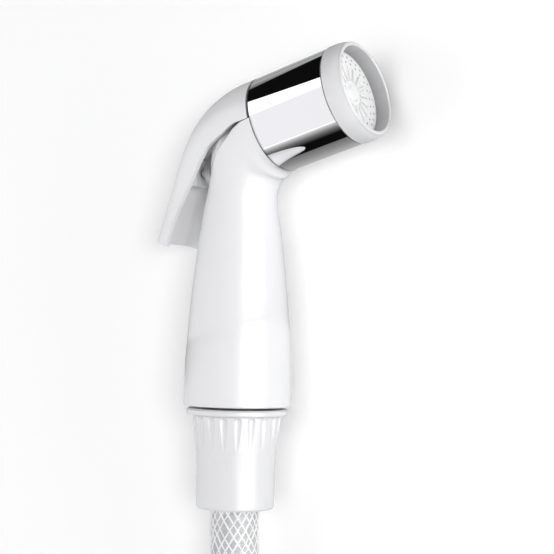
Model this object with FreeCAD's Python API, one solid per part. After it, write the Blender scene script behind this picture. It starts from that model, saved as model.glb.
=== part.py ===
"""Handheld bidet shower: white moulded handset, trigger lever, chrome head sleeve and braided hose.

The handset is drawn upright and then laid on its side. In the drawing frame x points forward (the way
the spray goes), y across the handle and z up the handle, with z = 0 at the handle's bottom face.
The row frame has X forward, Y up the handle and Z up from the surface that the handset lies on.
All sizes are in millimetres.
"""
import FreeCAD, Part
import math
import os
from FreeCAD import Placement, Rotation, Vector

# Handle: outer radius at heights above the bottom face, then the elbow that turns into the head
HANDLE_FOOT_R = 17.1
HANDLE_SECTIONS = ((7.0, 16.93), (14.5, 16.67), (29.4, 15.65), (44.7, 14.15), (56.1, 12.65), (62.8, 11.6))
ELBOW_SECTIONS = ((0.52, 67.4, 11.07, 7.0), (1.2, 72.5, 11.43, 18.0), (3.1, 78.85, 12.92, 37.0),
                  (7.25, 84.55, 14.48, 58.5))
HANDLE_EDGE = 0.35
HANDLE_WALL = 3.0
FOOT_THICK = 14.0
CAVITY_TOP = 60.8
BORE_CLEARANCE = 0.05
RUN_CLEARANCE = 0.05
SEAT_GAP = 0.3

# Head: its axis starts on the handle's axis and leans up from the horizontal
HEAD_RISE = 15.05
HEAD_START_Z = 85.1
COLLAR_S = 13.0
BARREL_R = 14.35
SLEEVE_R = BARREL_R + 0.95
COLLAR_R = SLEEVE_R + 0.3
SLEEVE_END_S = 39.8
BARREL_END_S = SLEEVE_END_S - 0.8
THREAD_R = BARREL_R - 1.4
THREAD_BACK_S = SLEEVE_END_S - 10.8
BORE_R = THREAD_R - 1.45
BORE_BACK_S = COLLAR_S + 1.0
CHAMBER_R = BORE_R - 2.0
CHAMBER_BACK_S = 4.0
CORE_R = CHAMBER_R + 2.5

# Spray ring, its seal, the plate with fine holes and the flow disc behind it
RING_REAR_R = SLEEVE_R + 0.2
RING_FRONT_R = RING_REAR_R - 0.8
RING_LENGTH = 6.6
RING_INNER_R = RING_FRONT_R - 1.2
RING_SKIRT_R = BORE_R - 0.1
SEAL_THICK = 1.2
RECESS_DEPTH = 5.0
PLATE_THICK = 1.2
PLATE_HOLE_R = 0.35
PLATE_HOLE_RADII = (RING_INNER_R - 1.6, RING_INNER_R - 3.3)
PLATE_HOLE_COUNTS = (30, 24)
RIB_COUNT = 16
RIB_RADII = (4.2, 8.6)
RIB_WIDTH = 0.6
RIB_HEIGHT = 0.5
FLOW_DISC_S = 33.0
FLOW_DISC_THICK = 1.5

# Lever: outer line from its straight tail, round the elbow, to the hood that ends just behind the sleeve
LEVER_STRAIGHT = 30.5
LEVER_TURN_ANGLE = 55.74
LEVER_ARC_R = 34.0
LEVER_RISE = COLLAR_R - 0.3
LEVER_HOOD_RUN = 2.67
LEVER_HOOD_GAP = 0.7
LEVER_WALL = 1.9
LEVER_TRAVEL_ANGLE = 10.0
LEVER_TAIL_SIZE = (9.7, 5.84, 4.0)
LEVER_MIDDLE_SIZE = (10.3, 6.9, 4.5)
LEVER_BEND_SIZE = (12.0, 10.6, 7.0)
LEVER_CROWN_SIZE = (COLLAR_R - 1.2, COLLAR_R - 1.0, COLLAR_R - 3.6)
LEVER_HOOD_SIZE = (COLLAR_R - 0.3, COLLAR_R - 0.2, COLLAR_R - 0.5)
PIVOT_S = 9.0
PIVOT_RISE = 2.8
PIN_R = 1.5
PIN_IN_Y = CORE_R - 1.4
PIN_OUT_Y = COLLAR_R - 1.5

# Valve across the neck, opened by a pad inside the lever
VALVE_Z = 74.3
GLAND_R = 6.2
GLAND_BACK_X = -11.3
SEAT_X = -6.2
STEM_R = 1.5
PAD_REACH = 5.3
DISC_R = 3.6
DISC_THICK = 1.0
CARRIER_R = 3.9
CARRIER_THICK = 1.7
VALVE_CHAMBER_R = 4.3
VALVE_CHAMBER_END_X = 3.6
SPRING_WIRE = 0.7
SPRING_R = 3.1
SPRING_TURNS = 4.0
SPRING_STEPS = 8
PAD_HALF = (3.2, 4.2)
OUTLET_R = 1.3
INLET_R = 3.0

# Inlet spigot, water tube and strainer in the handle
SPIGOT_THREAD_R = 8.4
SPIGOT_THREAD_TOP = 12.0
SPIGOT_MALE_R = 10.4
SPIGOT_LENGTH = 11.0
TUBE_R = 4.5
TUBE_BORE_R = 3.2
TUBE_FOOT_Z = 9.5
TUBE_TOP_Z = 65.3
SEAL_WIRE_R = 0.7
STRAINER_R = 7.4

# Hose nut with flutes, and the fittings inside it
NUT_GAP = 0.8
NUT_FLANGE_R = 16.0
NUT_FLANGE_THICK = 2.0
NUT_SKIRT = ((14.1, 0.0), (13.3, 5.9), (12.6, 12.0), (12.4, 17.2))
NUT_END_Z = -31.9
NUT_TIP_R = 12.3
NUT_LOWER_BORE_R = 9.2
FLUTE_COUNT = 20
FLUTE_R = 1.5
FLUTE_DEPTH = 0.95
FLUTE_TOP_DROP = 1.5
FLUTE_END_Z = -16.5
WASHER_THICK = 1.8
TAIL_FLANGE_R = 9.9
TAIL_FLANGE_THICK = 1.7
TAIL_R = 5.6
TAIL_BORE_R = 4.0
BARB_RISE = 0.35
BARB_COUNT = 3
FERRULE_WALL = 1.0
FERRULE_LENGTH = 15.7

# Hose: straight lead, coil with one full turn and a part turn on it, and a short end run
HOSE_R = 8.0
COIL_MEAN_R = 96.0
COIL_CENTRE_Y = -170.0
COIL_CORNER_R = 5.0
LEAD_ROUTE_Y = (-53.5, -92.0, -114.0)
TOP_TURN_ANGLES = (125.0, 270.0)
END_ROUTE_X = (22.0, 44.0, 66.0)

# Wall nut at the hose's far end, with a half inch pipe thread
WALL_NUT_R = 12.5
WALL_NUT_FLATS = 23.0
WALL_NUT_LENGTH = 14.0
WALL_THREAD_R = 9.32
WALL_RELIEF_R = 9.7
WALL_LIP_R = 6.9
WALL_FERRULE_LENGTH = 22.0
WALL_FLANGE_R = 9.0
WALL_FLANGE_THICK = 1.6
WALL_WASHER_THICK = 2.0
WALL_NECK = 1.5

RISE = math.radians(HEAD_RISE)
HEAD_AXIS = Vector(math.cos(RISE), 0, math.sin(RISE))
HEAD_UP = Vector(-math.sin(RISE), 0, math.cos(RISE))
HEAD_START = Vector(0, 0, HEAD_START_Z)
HEAD_PLACE = Placement(HEAD_START, Rotation(Vector(0, 1, 0), -HEAD_RISE))
ACROSS = Vector(0, 1, 0)
UPRIGHT = Vector(0, 0, 1)
FORWARD = Vector(1, 0, 0)


def head_point(s, rise=0.0, y=0.0):
    """Point at s along the head's axis, raised across it."""
    return HEAD_START + HEAD_AXIS * s + HEAD_UP * rise + Vector(0, y, 0)


def turned_z(outline):
    """Solid turned about the z axis from (radius, z) corners."""
    corners = [Vector(radius, 0, z) for radius, z in outline]
    face = Part.Face(Part.makePolygon(corners + corners[:1]))
    return face.revolve(Vector(0, 0, 0), UPRIGHT, 360)


def turned_x(outline):
    """Solid turned about the x axis from (x, radius) corners."""
    corners = [Vector(x, 0, radius) for x, radius in outline]
    face = Part.Face(Part.makePolygon(corners + corners[:1]))
    return face.revolve(Vector(0, 0, 0), FORWARD, 360)


def in_head(shape):
    """Shape drawn along x from the head's start, put on the head's axis."""
    placed = shape.copy()
    placed.Placement = HEAD_PLACE.multiply(placed.Placement)
    return placed


def pipe_ring(inner, outer, low, high):
    """Ring about the z axis with a plain wall."""
    return turned_z(((inner, low), (outer, low), (outer, high), (inner, high)))


def bent_path(route):
    """Wire of straight runs joined by tangent arcs through a route's corners, and the arcs' radii."""
    start = route[0]
    edges = []
    radii = []
    for before, point, after in zip(route, route[1:], route[2:]):
        way_in = (point - before).normalize()
        way_out = (after - point).normalize()
        half_turn = way_in.getAngle(way_out) / 2
        reach = 0.45 * min((point - before).Length, (after - point).Length)
        bend = reach / math.tan(half_turn)
        first = point - way_in * reach
        last = point + way_out * reach
        middle = point + (way_out - way_in).normalize() * (bend / math.cos(half_turn) - bend)
        edges.append(Part.LineSegment(start, first).toShape())
        edges.append(Part.Arc(first, middle, last).toShape())
        radii.append(bend)
        start = last
    edges.append(Part.LineSegment(start, route[-1]).toShape())
    return Part.Wire(edges), radii


def tube_along(path, radius):
    """Round solid along a path."""
    start = path.Edges[0].valueAt(path.Edges[0].FirstParameter)
    way = path.Edges[0].tangentAt(path.Edges[0].FirstParameter)
    return path.makePipeShell([Part.Wire(Part.makeCircle(radius, start, way))], True, False)


def o_ring(mean_r, wire_r, centre, axis):
    """Round-section sealing ring."""
    return Part.makeTorus(mean_r, wire_r, centre, axis)


def smooth_loft(wires):
    """Solid through the wires, of low degree so that it stays close to them between stations."""
    return Part.makeLoft(wires, True, False, False, 3)


def section_circle(x, z, radius, tilt):
    """Circle of the handle's loft, tilted forward from the horizontal."""
    wire = Part.Wire(Part.makeCircle(radius))
    wire.Placement = Placement(Vector(x, 0, z), Rotation(Vector(0, 1, 0), tilt))
    return wire


# Lever outline

def lever_line():
    """Ends and direction of the lever's straight outer line, and the centre and angle of its arc."""
    turn = math.radians(LEVER_TURN_ANGLE)
    up_way = Vector(math.cos(RISE + turn), 0, math.sin(RISE + turn))
    inward = Vector(up_way.z, 0, -up_way.x)
    arc_end = head_point(COLLAR_S - LEVER_HOOD_GAP - LEVER_HOOD_RUN, LEVER_RISE)
    centre = arc_end - HEAD_UP * LEVER_ARC_R
    start = centre - inward * LEVER_ARC_R
    return start - up_way * LEVER_STRAIGHT, up_way, start, centre, turn


def stem_tip_x():
    """Place of the push stem's tip: a set reach inside the lever's straight outer line."""
    tail, up_way = lever_line()[:2]
    return tail.x + up_way.x / up_way.z * (VALVE_Z - tail.z) + PAD_REACH - SEAT_GAP


def mix(low, high, share):
    """Values between two sizes."""
    return tuple(a + (b - a) * share for a, b in zip(low, high))


def lever_stations(stretch):
    """Stations along the lever: point on the outer line, inward direction and section size."""
    tail, up_way, start, centre, turn = lever_line()
    inward = Vector(up_way.z, 0, -up_way.x)
    middle = tail + (start - tail) * 0.5
    stations = [(tail - up_way * stretch, inward, LEVER_TAIL_SIZE)]
    stations.append((middle, inward, LEVER_MIDDLE_SIZE))
    stations.append((start, inward, LEVER_BEND_SIZE))
    for step in (1, 2, 3, 4):
        share = step / 4
        angle = turn * share
        spoke = inward * math.cos(angle) - up_way * math.sin(angle)
        point = centre - spoke * LEVER_ARC_R
        if share <= 0.5:
            size = mix(LEVER_BEND_SIZE, LEVER_CROWN_SIZE, share / 0.5)
        else:
            size = mix(LEVER_CROWN_SIZE, LEVER_HOOD_SIZE, (share - 0.5) / 0.5)
        stations.append((point, spoke, size))
    last = stations[-1][0]
    front_s = COLLAR_S - LEVER_HOOD_GAP
    to_front = front_s - (last - HEAD_START).dot(HEAD_AXIS)
    front = last + HEAD_AXIS * (to_front + stretch)
    stations.append((front, HEAD_UP * -1, LEVER_HOOD_SIZE))
    return stations


def lever_section(point, inward, size, wall, extra):
    """Closed wire of the channel's section, set in by a wall and made deeper by an extra length."""
    half = size[0] - wall
    depth = size[1] + extra
    corner = size[2] - wall

    def at(y, down):
        return point + inward * down + Vector(0, y, 0)

    sink = corner * (1 - math.sqrt(0.5))
    top = wall
    edges = [Part.LineSegment(at(-half, depth), at(-half, top + corner)).toShape()]
    arc = Part.Arc(at(-half, top + corner), at(-half + sink, top + sink), at(-half + corner, top))
    edges.append(arc.toShape())
    edges.append(Part.LineSegment(at(-half + corner, top), at(half - corner, top)).toShape())
    arc = Part.Arc(at(half - corner, top), at(half - sink, top + sink), at(half, top + corner))
    edges.append(arc.toShape())
    edges.append(Part.LineSegment(at(half, top + corner), at(half, depth)).toShape())
    edges.append(Part.LineSegment(at(half, depth), at(-half, depth)).toShape())
    return Part.Wire(edges)


def lever_loft(wall, extra, stretch):
    """Filled form of the lever, or of its hollow."""
    return smooth_loft([lever_section(*station, wall, extra) for station in lever_stations(stretch)])


def pivot_point():
    """Centre of the lever's pins."""
    return head_point(PIVOT_S, PIVOT_RISE)


def pin_pair(radius, inner_y, outer_y):
    """A short cylinder on each side of the head, on the lever's pivot."""
    left = Part.makeCylinder(radius, outer_y - inner_y, pivot_point() + ACROSS * inner_y, ACROSS)
    right = Part.makeCylinder(radius, outer_y - inner_y, pivot_point() - ACROSS * outer_y, ACROSS)
    return left, right


def valve_cylinder(radius, low, high):
    """Cylinder along the valve's axis."""
    return Part.makeCylinder(radius, high - low, Vector(low, 0, VALVE_Z), FORWARD)


def lever():
    """Trigger lever: an open channel that widens into the hood over the elbow, with a push pad."""
    shell = lever_loft(0.0, 0.0, 0.0)
    hollow = lever_loft(LEVER_WALL, 3.0, 1.0)
    pad_face = stem_tip_x() - SEAT_GAP
    pad_deep = 2 * LEVER_MIDDLE_SIZE[0]
    corner = Vector(pad_face - pad_deep, -PAD_HALF[0], VALVE_Z - PAD_HALF[1])
    pad = Part.makeBox(pad_deep, 2 * PAD_HALF[0], 2 * PAD_HALF[1], corner)
    pad = pad.common(shell)
    channel = shell.cut(hollow).fuse(pad)
    for hole in pin_pair(PIN_R + RUN_CLEARANCE, 0.0, PIN_OUT_Y + RUN_CLEARANCE):
        channel = channel.cut(hole)
    return channel.removeSplitter()


def lever_pins():
    """Two pivot pins, each fixed in the head and standing out into the lever's cheek."""
    return Part.makeCompound(pin_pair(PIN_R, PIN_IN_Y, PIN_OUT_Y))


# Handle

def edge_room(press):
    """Block over the lever's lower edge, at rest or pressed, that the handle's skin leaves free."""
    far = 2 * COLLAR_R
    inset = SEAT_GAP
    points = [point + inward * (size[1] + inset) for point, inward, size in lever_stations(0.0)]
    points[-1] = points[-1] + HEAD_AXIS * LEVER_HOOD_GAP
    turn = Rotation(ACROSS, -press)
    pivot = pivot_point()
    points = [pivot + turn.multVec(point - pivot) for point in points]
    front = head_point(COLLAR_S, (points[-1] - HEAD_START).dot(HEAD_UP))
    outline = points[:-1] + [front, head_point(COLLAR_S, far), Vector(points[0].x - far, 0, HEAD_START_Z + far)]
    outline.append(points[0] - FORWARD * far)
    flat = Part.Face(Part.makePolygon(outline + outline[:1]))
    flat.translate(ACROSS * -far)
    return flat.extrude(ACROSS * 2 * far)


def handle_skin():
    """Outer form of the handle and elbow, up to the collar."""
    wires = [section_circle(0, 0, HANDLE_FOOT_R, 0)]
    wires += [section_circle(0, z, radius, 0) for z, radius in HANDLE_SECTIONS]
    wires += [section_circle(x, z, radius, tilt) for x, z, radius, tilt in ELBOW_SECTIONS]
    collar = head_point(COLLAR_S)
    wires.append(section_circle(collar.x, collar.z, COLLAR_R, 90 - HEAD_RISE))
    skin = smooth_loft(wires)
    inner = HANDLE_FOOT_R - HANDLE_EDGE
    outer = HANDLE_FOOT_R + HANDLE_EDGE
    return skin.cut(turned_z(((inner, 0), (inner, -1), (outer, -1), (outer, 2 * HANDLE_EDGE))))


def handle_hollow():
    """Inner space of the handle with the spigot's bore, the tube's socket and the seal's seat."""
    walls = [(radius - HANDLE_WALL, z) for z, radius in HANDLE_SECTIONS if FOOT_THICK <= z < CAVITY_TOP]
    top = HANDLE_SECTIONS[-1][1] - HANDLE_WALL
    outline = [(0, FOOT_THICK), (walls[0][0], FOOT_THICK)] + walls[1:] + [(top, CAVITY_TOP), (0, CAVITY_TOP)]
    space = turned_z(outline)
    bore = Part.makeCylinder(SPIGOT_THREAD_R + BORE_CLEARANCE, FOOT_THICK + 1, Vector(0, 0, -0.5))
    socket = Part.makeCylinder(TUBE_R + BORE_CLEARANCE, TUBE_TOP_Z - CAVITY_TOP + 0.5, Vector(0, 0, CAVITY_TOP - 0.5))
    seat = Part.makeCylinder(TUBE_R + 2 * SEAL_WIRE_R, 2 * SEAL_WIRE_R + 0.2, Vector(0, 0, CAVITY_TOP - 0.1))
    inlet = Part.makeCylinder(INLET_R, VALVE_Z - CAVITY_TOP, Vector(0, 0, CAVITY_TOP))
    return space.fuse([bore, socket, seat, inlet])


def valve_hollow():
    """Cross bore for the valve, its chamber and the outlet hole to the head."""
    gland_bore = valve_cylinder(GLAND_R + BORE_CLEARANCE, -30.0, SEAT_X)
    chamber = valve_cylinder(VALVE_CHAMBER_R, SEAT_X - 0.5, VALVE_CHAMBER_END_X)
    start = Vector(-6.9, 0, VALVE_Z + GLAND_R - 0.4)
    end = head_point(CHAMBER_BACK_S + 1.0, -0.6)
    outlet = Part.makeCylinder(OUTLET_R, (end - start).Length, start, end - start)
    return gland_bore.fuse([chamber, outlet])


def head_hollow():
    """Stepped bore of the head."""
    steps = ((CHAMBER_BACK_S, 0), (CHAMBER_BACK_S, CHAMBER_R), (BORE_BACK_S, CHAMBER_R), (BORE_BACK_S, BORE_R),
             (THREAD_BACK_S, BORE_R), (THREAD_BACK_S, THREAD_R), (BARREL_END_S + 1, THREAD_R), (BARREL_END_S + 1, 0))
    return in_head(turned_x(steps))


def handle_body():
    """White handle, elbow and head barrel, moulded as one piece."""
    far = 3 * COLLAR_R
    core = Part.makeCylinder(CORE_R, far + COLLAR_S + 1, head_point(-far), HEAD_AXIS)
    room = edge_room(0.0).fuse(edge_room(LEVER_TRAVEL_ANGLE)).cut(core)
    skin = handle_skin().cut(room)
    barrel = Part.makeCylinder(BARREL_R, BARREL_END_S - COLLAR_S + 1, head_point(COLLAR_S - 1), HEAD_AXIS)
    neck = Part.makeCylinder(CORE_R, 4, head_point(COLLAR_S - 3), HEAD_AXIS)
    barrel = barrel.cut(in_head(turned_x(((0, 0), (0, far), (COLLAR_S, far), (COLLAR_S, 0))))).fuse(neck)
    solid = skin.fuse(barrel)
    solid = solid.cut(handle_hollow())
    solid = solid.cut(valve_hollow())
    solid = solid.cut(head_hollow())
    for pin in pin_pair(PIN_R, PIN_IN_Y, PIN_OUT_Y):
        solid = solid.cut(pin)
    return solid.removeSplitter()


# Water path

def inlet_spigot():
    """Plated spigot: screwed into the handle's foot, with the male thread that takes the hose nut."""
    outline = ((TUBE_BORE_R, -3.0), (STRAINER_R, -8.0), (STRAINER_R, -SPIGOT_LENGTH), (SPIGOT_MALE_R, -SPIGOT_LENGTH),
               (SPIGOT_MALE_R, 0), (SPIGOT_THREAD_R, 0), (SPIGOT_THREAD_R, SPIGOT_THREAD_TOP),
               (TUBE_R + 2 * SEAL_WIRE_R, SPIGOT_THREAD_TOP), (TUBE_R + 2 * SEAL_WIRE_R, SPIGOT_THREAD_TOP - 1.5),
               (TUBE_R + BORE_CLEARANCE, SPIGOT_THREAD_TOP - 1.5), (TUBE_R + BORE_CLEARANCE, TUBE_FOOT_Z),
               (TUBE_BORE_R, TUBE_FOOT_Z))
    return turned_z(outline)


def water_tube():
    """Stiff tube that carries the water up the handle to the valve."""
    return pipe_ring(TUBE_BORE_R, TUBE_R, TUBE_FOOT_Z, TUBE_TOP_Z)


def tube_seals():
    """Sealing ring at each end of the water tube."""
    mean = TUBE_R + SEAL_WIRE_R
    low = o_ring(mean, SEAL_WIRE_R, Vector(0, 0, SPIGOT_THREAD_TOP - 1.5 + SEAL_WIRE_R), UPRIGHT)
    high = o_ring(mean, SEAL_WIRE_R, Vector(0, 0, CAVITY_TOP + SEAL_WIRE_R + 0.1), UPRIGHT)
    return Part.makeCompound([low, high])


def inlet_strainer():
    """Round strainer with fine holes in the mouth of the spigot."""
    disc = turned_z(((0, -9.6), (STRAINER_R - 0.05, -9.6), (STRAINER_R - 0.05, -SPIGOT_LENGTH),
                     (STRAINER_R - 0.9, -SPIGOT_LENGTH), (STRAINER_R - 0.9, -10.4), (0, -10.4)))
    holes = [Part.makeCylinder(0.6, 3, Vector(0, 0, -12))]
    for ring in (1, 2, 3):
        for step in range(6 * ring):
            angle = 2 * math.pi * step / (6 * ring)
            spot = Vector(1.9 * ring * math.cos(angle), 1.9 * ring * math.sin(angle), -12)
            holes.append(Part.makeCylinder(0.6, 3, spot))
    return disc.cut(holes)


# Valve

def valve_gland():
    """Plated gland that guides the stem and carries the valve's seat."""
    back = GLAND_BACK_X
    outline = ((back, STEM_R + RUN_CLEARANCE), (back, GLAND_R - 1.2), (back + 0.8, GLAND_R), (-8.4, GLAND_R),
               (-8.4, GLAND_R - 1.0), (-6.9, GLAND_R - 1.0), (-6.9, GLAND_R), (SEAT_X, GLAND_R), (SEAT_X, 2.5),
               (-8.6, 2.5), (-8.6, STEM_R + RUN_CLEARANCE), (-9.0, STEM_R + RUN_CLEARANCE), (-9.0, STEM_R + 1.2),
               (-10.2, STEM_R + 1.2), (-10.2, STEM_R + RUN_CLEARANCE))
    body = turned_x(outline)
    body.translate(Vector(0, 0, VALVE_Z))
    port = Part.makeCylinder(0.7, 2 * GLAND_R + 2, Vector(-7.6, 0, VALVE_Z - GLAND_R - 1))
    return body.cut(port)


def stem_seal():
    """Sealing ring round the stem, in the gland's groove."""
    return o_ring(STEM_R + 0.6, 0.52, Vector(-9.6, 0, VALVE_Z), FORWARD)


def valve_stem():
    """Push stem with the disc's carrier and a tail that guides the spring."""
    disc_end = SEAT_X + RUN_CLEARANCE + DISC_THICK
    carrier_end = disc_end + CARRIER_THICK
    tip = stem_tip_x()
    outline = ((tip, 0), (tip, STEM_R - 0.3), (tip + 0.3, STEM_R), (disc_end, STEM_R),
               (disc_end, CARRIER_R), (carrier_end, CARRIER_R), (carrier_end, STEM_R + 0.6),
               (carrier_end + 1.8, STEM_R + 0.4), (carrier_end + 1.8, 0))
    stem = turned_x(outline)
    stem.translate(Vector(0, 0, VALVE_Z))
    return stem


def valve_disc():
    """Rubber sealing disc on the stem."""
    low = SEAT_X + RUN_CLEARANCE
    disc = turned_x(((low, STEM_R), (low, DISC_R), (low + DISC_THICK, DISC_R), (low + DISC_THICK, STEM_R)))
    disc.translate(Vector(0, 0, VALVE_Z))
    return disc


def valve_spring():
    """Coil spring that closes the valve and returns the lever."""
    low = SEAT_X + RUN_CLEARANCE + DISC_THICK + CARRIER_THICK + SPRING_WIRE / 2 + 0.05
    high = VALVE_CHAMBER_END_X - SPRING_WIRE / 2 - 0.05
    steps = int(SPRING_TURNS * SPRING_STEPS)
    points = []
    for step in range(steps + 1):
        angle = 2 * math.pi * step / SPRING_STEPS
        points.append(Vector(low + (high - low) * step / steps, SPRING_R * math.cos(angle),
                             VALVE_Z + SPRING_R * math.sin(angle)))
    return tube_along(bent_path(points)[0], SPRING_WIRE / 2)


# Head

def head_sleeve():
    """Bright tube over the head's barrel, between the collar and the spray ring."""
    tube = turned_x(((COLLAR_S, BARREL_R + BORE_CLEARANCE), (COLLAR_S, SLEEVE_R - 0.2), (COLLAR_S + 0.2, SLEEVE_R),
                     (SLEEVE_END_S - 0.2, SLEEVE_R), (SLEEVE_END_S, SLEEVE_R - 0.2),
                     (SLEEVE_END_S, BARREL_R + BORE_CLEARANCE)))
    return in_head(tube)


def spray_ring():
    """Front ring with a rounded lip, and the skirt that screws into the barrel."""
    rear = SLEEVE_END_S
    front = rear + RING_LENGTH
    plate_face = front - RECESS_DEPTH
    ledge = plate_face - PLATE_THICK
    skirt_back = THREAD_BACK_S + SEAL_THICK
    skirt_out = THREAD_R - BORE_CLEARANCE
    lip = 0.75
    middle_r = (RING_INNER_R + RING_FRONT_R) / 2
    lines = [(skirt_back, RING_SKIRT_R), (skirt_back, skirt_out), (rear, skirt_out), (rear, RING_REAR_R - 0.3)]
    lines += [(rear + 0.3, RING_REAR_R), (rear + 2.2, RING_REAR_R)]
    corners = [Vector(s, 0, radius) for s, radius in lines]
    start = Vector(front - lip, 0, RING_FRONT_R)
    end = Vector(front - lip, 0, RING_INNER_R)
    edges = [Part.LineSegment(a, b).toShape() for a, b in zip(corners, corners[1:])]
    edges.append(Part.Arc(corners[-1], Vector(rear + 4.2, 0, RING_REAR_R - 0.25), start).toShape())
    edges.append(Part.Arc(start, Vector(front, 0, middle_r), end).toShape())
    back = [end, Vector(ledge, 0, RING_INNER_R), Vector(ledge, 0, RING_SKIRT_R), corners[0]]
    edges += [Part.LineSegment(a, b).toShape() for a, b in zip(back, back[1:])]
    ring = Part.Face(Part.Wire(edges)).revolve(Vector(0, 0, 0), FORWARD, 360)
    return in_head(ring)


def spray_plate():
    """White plate in the ring's recess: two rings of fine holes, short ribs round a centre boss."""
    face = SLEEVE_END_S + RING_LENGTH - RECESS_DEPTH
    back = face - PLATE_THICK
    rim = RING_INNER_R - BORE_CLEARANCE
    plate = turned_x(((back, 0), (back, rim), (face, rim), (face, 2.6), (face + 0.6, 2.2), (face + 0.6, 0)))
    rib = Part.makeBox(RIB_HEIGHT + 0.5, RIB_WIDTH, RIB_RADII[1] - RIB_RADII[0],
                       Vector(face - 0.5, -RIB_WIDTH / 2, RIB_RADII[0]))
    ribs = []
    for step in range(RIB_COUNT):
        copy = rib.copy()
        copy.rotate(Vector(0, 0, 0), FORWARD, 360 * step / RIB_COUNT)
        ribs.append(copy)
    plate = plate.fuse(ribs)
    holes = []
    for radius, count in zip(PLATE_HOLE_RADII, PLATE_HOLE_COUNTS):
        for step in range(count):
            angle = 2 * math.pi * step / count
            spot = Vector(back - 1, radius * math.cos(angle), radius * math.sin(angle))
            holes.append(Part.makeCylinder(PLATE_HOLE_R, PLATE_THICK + 2, spot, FORWARD))
    return in_head(plate.cut(holes))


def ring_seal():
    """Flat rubber seal between the ring's skirt and the step in the barrel."""
    low = THREAD_BACK_S
    seal = turned_x(((low, BORE_R), (low, THREAD_R - BORE_CLEARANCE), (low + SEAL_THICK, THREAD_R - BORE_CLEARANCE),
                     (low + SEAL_THICK, BORE_R)))
    return in_head(seal)


def flow_disc():
    """Perforated disc that spreads the flow behind the spray plate."""
    disc = Part.makeCylinder(RING_SKIRT_R - BORE_CLEARANCE, FLOW_DISC_THICK, Vector(FLOW_DISC_S, 0, 0), FORWARD)
    holes = []
    for ring in (1, 2, 3):
        for step in range(6 * ring):
            angle = 2 * math.pi * step / (6 * ring)
            spot = Vector(FLOW_DISC_S - 1, 3.0 * ring * math.cos(angle), 3.0 * ring * math.sin(angle))
            holes.append(Part.makeCylinder(0.8, FLOW_DISC_THICK + 2, spot, FORWARD))
    return in_head(disc.cut(holes))


# Hose nut and fittings, on the handle's axis below its foot

def hose_nut():
    """White nut: flange, fluted skirt that tapers to a plain end, and the bore for the spigot."""
    top = -NUT_GAP
    flange_low = top - NUT_FLANGE_THICK
    shoulder = -SPIGOT_LENGTH - WASHER_THICK - TAIL_FLANGE_THICK - 0.1
    bore = SPIGOT_MALE_R + RUN_CLEARANCE
    outline = [(bore, top), (NUT_FLANGE_R - 0.5, top), (NUT_FLANGE_R, top - 0.5), (NUT_FLANGE_R, flange_low + 0.4)]
    outline += [(NUT_FLANGE_R - 0.4, flange_low)]
    outline += [(radius, flange_low - drop) for radius, drop in NUT_SKIRT]
    outline += [(NUT_TIP_R, NUT_END_Z + 0.6), (NUT_TIP_R - 0.5, NUT_END_Z), (NUT_LOWER_BORE_R, NUT_END_Z)]
    outline += [(NUT_LOWER_BORE_R, shoulder), (bore, shoulder)]
    nut = turned_z(outline)
    top_r = NUT_SKIRT[0][0] + FLUTE_R - FLUTE_DEPTH
    end_r = NUT_SKIRT[2][0] + FLUTE_R
    start = Vector(top_r, 0, flange_low - FLUTE_TOP_DROP)
    end = Vector(end_r, 0, FLUTE_END_Z)
    groove = Part.makeCylinder(FLUTE_R, (end - start).Length, start, end - start)
    groove = groove.fuse(Part.makeSphere(FLUTE_R, start))
    flutes = []
    for step in range(FLUTE_COUNT):
        copy = groove.copy()
        copy.rotate(Vector(0, 0, 0), UPRIGHT, 360 * step / FLUTE_COUNT)
        flutes.append(copy)
    return nut.cut(flutes)


def hose_washer():
    """Rubber washer between the spigot and the hose tail."""
    top = -SPIGOT_LENGTH
    return pipe_ring(TAIL_BORE_R + 1.2, TAIL_FLANGE_R, top - WASHER_THICK, top)


def barbed_tail(flange_r, flange_thick, length):
    """Barbed tail with its flange at z = 0 and the barbs going down."""
    outline = [(TAIL_BORE_R, 0), (flange_r, 0), (flange_r, -flange_thick), (TAIL_R, -flange_thick)]
    barb_top = -flange_thick - 3.0
    pitch = (length + barb_top - 1.0) / BARB_COUNT
    for step in range(BARB_COUNT):
        z = barb_top - step * pitch
        outline += [(TAIL_R, z), (TAIL_R + BARB_RISE, z - 0.05), (TAIL_R, z - pitch * 0.8)]
    outline += [(TAIL_R - 0.3, -length), (TAIL_BORE_R, -length)]
    return turned_z(outline)


def hose_tail():
    """Brass tail held in the nut, pushed into the hose's end."""
    tail = barbed_tail(TAIL_FLANGE_R, TAIL_FLANGE_THICK, 16.5)
    tail.translate(Vector(0, 0, -SPIGOT_LENGTH - WASHER_THICK))
    return tail


def hose_ferrule():
    """Crimped sleeve round the hose's end, inside the nut."""
    top = NUT_END_Z + FERRULE_LENGTH
    outer = HOSE_R + FERRULE_WALL
    return turned_z(((TAIL_R + 0.4, top), (outer, top), (outer, NUT_END_Z), (HOSE_R, NUT_END_Z), (HOSE_R, top - 0.8),
                     (TAIL_R + 0.4, top - 0.8)))


def hose_grip():
    """The hose's end, gripped between the barbed tail and the ferrule."""
    top = NUT_END_Z + FERRULE_LENGTH - 0.8
    plug = Part.makeCylinder(HOSE_R, top - NUT_END_Z, Vector(0, 0, NUT_END_Z))
    bore = Part.makeCylinder(TAIL_BORE_R, top - NUT_END_Z, Vector(0, 0, NUT_END_Z))
    return plug.cut(bore).cut(hose_tail())


# Hose

def hose_run(route, name):
    """Stretch of plain hose along a route; prints its bend radii and how its volume compares."""
    path, radii = bent_path(route)
    tube = tube_along(path, HOSE_R)
    plain = math.pi * HOSE_R ** 2 * path.Length
    print(name, "bend radii", [round(radius, 1) for radius in radii])
    print(name, "length", round(path.Length, 1), "volume over plain", round(tube.Volume / plain, 5))
    return tube


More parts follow.
